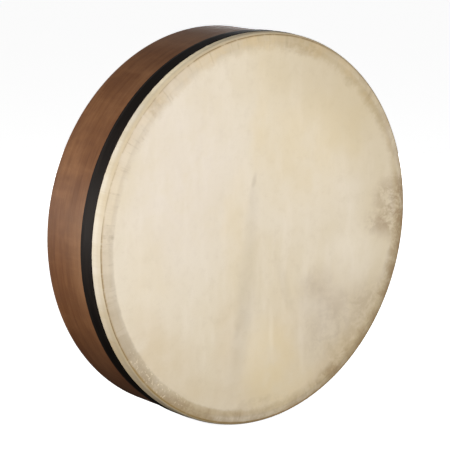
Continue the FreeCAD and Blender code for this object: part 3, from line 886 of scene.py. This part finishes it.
def turned(name, profile, material, turns=360, closed=True, shift=None):
    """A piece made by turning (radius, y) points round the drum's axis, with turns points a row.

    shift(angles, radii, ys) may return small changes to the radii and the ys."""
    radii = np.array([p[0] for p in profile])[:, None]
    ys = np.array([p[1] for p in profile])[:, None]
    angles = around_drum(turns)[None, :]
    radii, ys, angles = np.broadcast_arrays(radii, ys, angles)
    if shift:
        more_radius, more_y = shift(angles, radii, ys)
        radii, ys = radii + more_radius, ys + more_y
    points = np.stack([radii * np.cos(angles), ys, radii * np.sin(angles)], -1).reshape(-1, 3)
    mesh = bpy.data.meshes.new(name)
    mesh.from_pydata(points.tolist(), [], bridge(len(profile), turns, closed))
    mesh.update()
    return link(name, mesh, material)


def around_drum(turns):
    """Evenly spaced angles, from the right and towards the top."""
    return np.linspace(0, 2 * math.pi, turns, endpoint=False)


def waves(angles, lowest, highest):
    """A smooth random function of the angle round the drum, between about -1 and 1."""
    total = np.zeros_like(angles)
    for count in range(lowest, highest + 1):
        total = total + random.normal() * np.cos(count * angles + random.uniform(0, 2 * math.pi))
    return total / (2.2 * math.sqrt((highest - lowest + 1) / 2))


def smooth(values, low, high):
    t = np.clip((values - low) / (high - low), 0, 1)
    return t * t * (3 - 2 * t)


def make_shell(material):
    """The wooden shell, most rounded at its outer front edge, where the skin laps over it."""
    inner = SHELL_RADIUS - SHELL_WALL
    front, rear, inside = SHELL_FRONT_ROUNDING, SHELL_REAR_ROUNDING, SHELL_INNER_ROUNDING
    low, high = SHELL_FRONT + front, SHELL_REAR - rear
    profile = arc((SHELL_RADIUS - rear, high), rear, -90, 0, 5)
    profile += stretch((SHELL_RADIUS, high), (SHELL_RADIUS, low), 12)[1:]
    profile += arc((SHELL_RADIUS - front, low), front, 0, 90, 8)
    profile += arc((inner + inside, SHELL_FRONT + inside), inside, 90, 180, 4)
    profile += stretch((inner, SHELL_FRONT + inside), (inner, high), 12)[1:]
    profile += arc((inner + rear, high), rear, 180, 270, 5)
    shell = turned("shell_wood", profile, material)
    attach(shell, "drum")
    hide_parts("shell")


# The skin's section: flat as far as BEND over the hoop, down a slope and round the shell's rim,
# whose centre is at (RIM, RIM_Y), then down the shell's side
BEND = RING_RADIUS - RING_FRONT_ROUNDING
RIM = SHELL_RADIUS - SHELL_FRONT_ROUNDING
RIM_Y = SHELL_FRONT + SHELL_FRONT_ROUNDING
SKIN_BACK = SKIN_FRONT + SKIN_THICKNESS
RIM_INNER_ROUND = SHELL_FRONT_ROUNDING + FIT
RIM_OUTER_ROUND = RIM_INNER_ROUND + SKIN_THICKNESS
RIM_ACROSS = RIM - BEND
RIM_DOWN = RIM_Y - SKIN_BACK
BEND_TO_RIM = math.hypot(RIM_ACROSS, RIM_DOWN)
SLOPE = math.acos(RIM_INNER_ROUND / BEND_TO_RIM) - math.atan2(RIM_ACROSS, RIM_DOWN)
TANGENT = 90 - math.degrees(SLOPE)  # where the slope meets the rounding, in degrees
PIN_HOLE = 0.2 * MM
SKIN_TURNS = 720


def skin_outside():
    """The skin's outer profile, from the middle of the head to the cut edge."""
    crest = BEND - 3.5 * MM
    wide = 190 * MM
    rounding = arc((RIM, RIM_Y), RIM_OUTER_ROUND, TANGENT, 0, 14)
    outer = stretch((PIN_HOLE, SKIN_FRONT), (wide, SKIN_FRONT), 8)
    outer += stretch((wide, SKIN_FRONT), (crest, SKIN_FRONT), 10)
    outer += stretch((crest, SKIN_FRONT), (BEND, SKIN_FRONT), 4)
    outer += stretch((BEND + 0.3 * MM, SKIN_FRONT + 0.03 * MM), rounding[0], 6)
    outer += rounding
    outer += stretch(rounding[-1], (SKIN_RADIUS, SKIN_END), 18)[1:]
    return outer + [(SKIN_RADIUS, SKIN_END)]


def skin_inside():
    """The skin's inner profile, from the cut edge back to the middle."""
    inner_radius = SHELL_RADIUS + FIT
    rounding = arc((RIM, RIM_Y), RIM_INNER_ROUND, 0, TANGENT, 10)
    under = stretch((inner_radius, SKIN_END), rounding[0], 6) + rounding
    under += stretch(rounding[-1], (BEND, SKIN_BACK), 4)[1:]
    under += stretch((BEND, SKIN_BACK), (RING_INNER, SKIN_BACK), 4)
    under += stretch((RING_INNER, SKIN_BACK), (PIN_HOLE, SKIN_BACK), 10)
    return under + [(PIN_HOLE, SKIN_BACK)]


def skin_shift(outside):
    """Pleats down the side, ripples on the slope and a slight dip inside the hoop.

    outside is 1 for the rows of the outer face and 0 for the others."""
    pleats = waves(around_drum(SKIN_TURNS), 50, 190)[None, :]
    ripples = waves(around_drum(SKIN_TURNS), 12, 70)[None, :]
    sway = waves(around_drum(SKIN_TURNS), 2, 9)[None, :]

    def shift(angles, radii, ys):
        side = smooth(radii, SHELL_RADIUS - 1 * MM, SHELL_RADIUS + 0.5 * MM) * outside
        open_side = side * (1 - smooth(ys, BAND_FRONT - 0.5 * MM, BAND_FRONT + 1.5 * MM))
        more_radius = pleats * 0.14 * MM * open_side * smooth(ys, SHELL_FRONT, BAND_FRONT)
        slope = smooth(radii, BEND - 2 * MM, BEND + 3 * MM) * (1 - side) * outside
        more_y = np.abs(ripples * 0.10 * MM + sway * 0.12 * MM) * slope
        dip = (1 - smooth(radii, RING_INNER - 9 * MM, RING_INNER + 2 * MM)) * 0.06 * MM
        return more_radius, more_y + dip

    return shift


def make_skin(material):
    """One closed skin: the head, the slope over the rim, and the side down under the band."""
    outer, under = skin_outside(), skin_inside()
    outside = np.array([1.0] * len(outer) + [0.0] * len(under))[:, None]
    shift = skin_shift(outside)
    skin = turned("head_skin", outer + under, material, turns=SKIN_TURNS, closed=False, shift=shift)
    close_middle(skin)
    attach(skin, "drum")
    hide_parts("goat_skin")


def close_middle(piece):
    """Fills the pin-hole that each face of a turned sheet leaves at the drum's axis."""
    work = bmesh.new()
    work.from_mesh(piece.data)
    loops = [e for e in work.edges if e.is_boundary]
    bmesh.ops.holes_fill(work, edges=loops, sides=0)
    bmesh.ops.recalc_face_normals(work, faces=work.faces)
    work.to_mesh(piece.data)
    work.free()
    shade_smooth(piece.data)


def make_band(material):
    """The band, stepped over the skin's cut edge."""
    on_shell, on_skin = SHELL_RADIUS + FIT, SKIN_RADIUS + FIT
    over_shell = on_shell + BAND_THICKNESS
    ramp_start, ramp_end = SKIN_END + 0.3 * MM, BAND_REAR - 0.6 * MM
    shares = np.linspace(0, 1, 13)
    ramp_radii = over_shell + (BAND_RADIUS - over_shell) * smooth(shares, 0, 1)
    ramp = list(zip(ramp_radii, ramp_end + (ramp_start - ramp_end) * shares))
    profile = [(on_shell, BAND_REAR), (over_shell - BAND_SOFTNESS, BAND_REAR)]
    profile += [(over_shell, BAND_REAR - BAND_SOFTNESS)]
    profile += ramp
    profile += stretch(ramp[-1], (BAND_RADIUS, BAND_FRONT + BAND_SOFTNESS), 10)[1:]
    profile += [(BAND_RADIUS, BAND_FRONT + BAND_SOFTNESS)]
    profile += [(BAND_RADIUS - BAND_SOFTNESS, BAND_FRONT), (on_skin, BAND_FRONT)]
    profile += [(on_skin, SKIN_END), (on_shell, SKIN_END + SKIN_THICKNESS)]
    wander = waves(around_drum(360), 2, 14)[None, :] * 0.15 * MM

    def shift(angles, radii, ys):
        near_edge = smooth(np.abs(ys - SKIN_END), 1.5 * MM, 6 * MM)
        return 0 * radii, near_edge * (wander - BAND_TILT * np.sin(angles))

    band = turned("black_band", profile, material, shift=shift)
    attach(band, "drum")
    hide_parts("edge_band")


def make_hoop(material):
    """The tuning hoop, well rounded in front where the skin passes over it."""
    low, high = RING_FRONT, RING_REAR
    front, rear = RING_FRONT_ROUNDING, RING_REAR_ROUNDING
    profile = arc((RING_RADIUS - front, low + front), front, 0, 90, 6)
    profile += arc((RING_INNER + front, low + front), front, 90, 180, 6)
    profile += stretch((RING_INNER, low + front), (RING_INNER, high - rear), 6)[1:]
    profile += arc((RING_INNER + rear, high - rear), rear, 180, 270, 3)
    profile += arc((RING_RADIUS - rear, high - rear), rear, 270, 360, 3)
    profile += stretch((RING_RADIUS, high - rear), (RING_RADIUS, low + front), 6)[1:]
    hoop = turned("tuning_hoop_ply", profile, material)
    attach(hoop, "tuning_hoop")
    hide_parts("tuning_ring")


# A tuning screw runs along y, with its head's underside at 0 and its shank towards the front.
# Each of its rows is (y, radius) or (y, radii round it).


def head_rows(angles):
    """The socket's floor, up its hexagon, over the head's rear face and down its knurled side."""
    sixth = math.pi / 3
    hexagon = SOCKET_FLATS / 2 / np.cos((angles + sixth / 2) % sixth - sixth / 2)
    knurl = SCREW_HEAD_RADIUS - 0.12 * MM * (np.arange(SCREW_TURNS) % 2)
    floor = SCREW_HEAD - SOCKET_DEPTH
    return [
        (floor - 0.8 * MM, 0.15 * MM),
        (floor, 0.92 * hexagon),
        (floor + 0.02 * MM, hexagon),
        (SCREW_HEAD - 0.25 * MM, hexagon),
        (SCREW_HEAD, hexagon + 0.25 * MM),
        (SCREW_HEAD, SCREW_HEAD_RADIUS - 0.75 * MM),
        (SCREW_HEAD - 0.45 * MM, SCREW_HEAD_RADIUS - 0.2 * MM),
        (SCREW_HEAD - 0.7 * MM, knurl),
        (0.5 * MM, knurl),
        (0.15 * MM, SCREW_HEAD_RADIUS - 0.15 * MM),
        (0.0, SCREW_HEAD_RADIUS - 0.35 * MM),
        (0.0, SCREW_SHANK_RADIUS),
    ]


def shank_rows(angles):
    """A plain length, then a thread that starts softly and ends in a blunt tip."""
    shank = SCREW_LENGTH - SCREW_HEAD
    count = int(round((shank - SCREW_PLAIN) / (SCREW_PITCH / 8)))
    rows = [(0.0, SCREW_SHANK_RADIUS), (-SCREW_PLAIN + 0.6 * MM, SCREW_SHANK_RADIUS)]
    for k in range(count + 1):
        y = -SCREW_PLAIN - (shank - SCREW_PLAIN) * k / count
        phase = (y / SCREW_PITCH + angles / (2 * math.pi)) % 1.0
        crest = np.clip(np.abs(phase - 0.5) * 2.6 - 0.25, 0, 1)
        starts = smooth(np.array(-y), SCREW_PLAIN, SCREW_PLAIN + 1.2 * MM)
        tip = smooth(np.array(shank + y), 0.0, 0.8 * MM)
        depth = (SCREW_SHANK_RADIUS - SCREW_ROOT_RADIUS) * (1 - crest) * starts
        limit = SCREW_SHANK_RADIUS - 0.5 * MM * (1 - tip)
        rows.append((y, np.minimum(SCREW_SHANK_RADIUS - depth, limit)))
    return rows


def row_points(rows, angles):
    """The points of a tuning screw's rows."""
    points = []
    for y, radius in rows:
        radii = np.broadcast_to(radius, SCREW_TURNS)
        points += [(r * math.cos(a), y, r * math.sin(a)) for r, a in zip(radii, angles)]
    return points


def screw_mesh():
    """A tuning screw: its head down to the underside, then its shank down to the tip."""
    angles = around_drum(SCREW_TURNS)
    head, shank = head_rows(angles), shank_rows(angles)
    first_of_shank = len(head) * SCREW_TURNS
    first_of_tip = first_of_shank + (len(shank) - 1) * SCREW_TURNS
    faces = bridge(len(head), SCREW_TURNS)
    faces.append(tuple(range(SCREW_TURNS))[::-1])
    for face in bridge(len(shank), SCREW_TURNS):
        faces.append(tuple(point + first_of_shank for point in face))
    faces.append(tuple(range(first_of_tip, first_of_tip + SCREW_TURNS)))
    mesh = bpy.data.meshes.new("tuning_screw")
    mesh.from_pydata(row_points(head + shank, angles), [], faces)
    mesh.update()
    return mesh


def make_tuning_screws(material):
    """Socket cap screws with a knurled head, a hexagon socket and a cut thread."""
    mesh = screw_mesh()
    mesh.materials.append(material)
    for number in range(1, TUNERS + 1):
        low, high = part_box(f"tuning_screw_{number}")
        screw = bpy.data.objects.new(f"cap_screw_{number}", mesh)
        bpy.context.scene.collection.objects.link(screw)
        screw.location = ((low.x + high.x) / 2, high.y - SCREW_HEAD, (low.z + high.z) / 2)
        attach(screw, f"screw_{number}")
        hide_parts(f"tuning_screw_{number}")


def finish_cad_nodes(materials):
    """Gives the CAD nodes that stay in view their materials, by their slots in the record."""
    for part in frame["record"]["subparts"]:
        if part["material_slot"] in materials:
            node = frame["nodes"][part["node"]]
            node.data.materials.clear()
            node.data.materials.append(materials[part["material_slot"]])


make_camera()
make_studio()
plated = steel_material("zinc_plated_steel", *ZINC, 0.28)
blackened = steel_material("black_oxide_steel", *BLACK_OXIDE, 0.3)
make_shell(shell_material())
make_skin(skin_material())
make_band(band_material())
make_hoop(ply_material())
make_tuning_screws(blackened)
finish_cad_nodes(
    {
        "beech": bar_material(),
        "plated_steel": plated,
        "screw_steel": plated,
        "staple_steel": plated,
    }
)
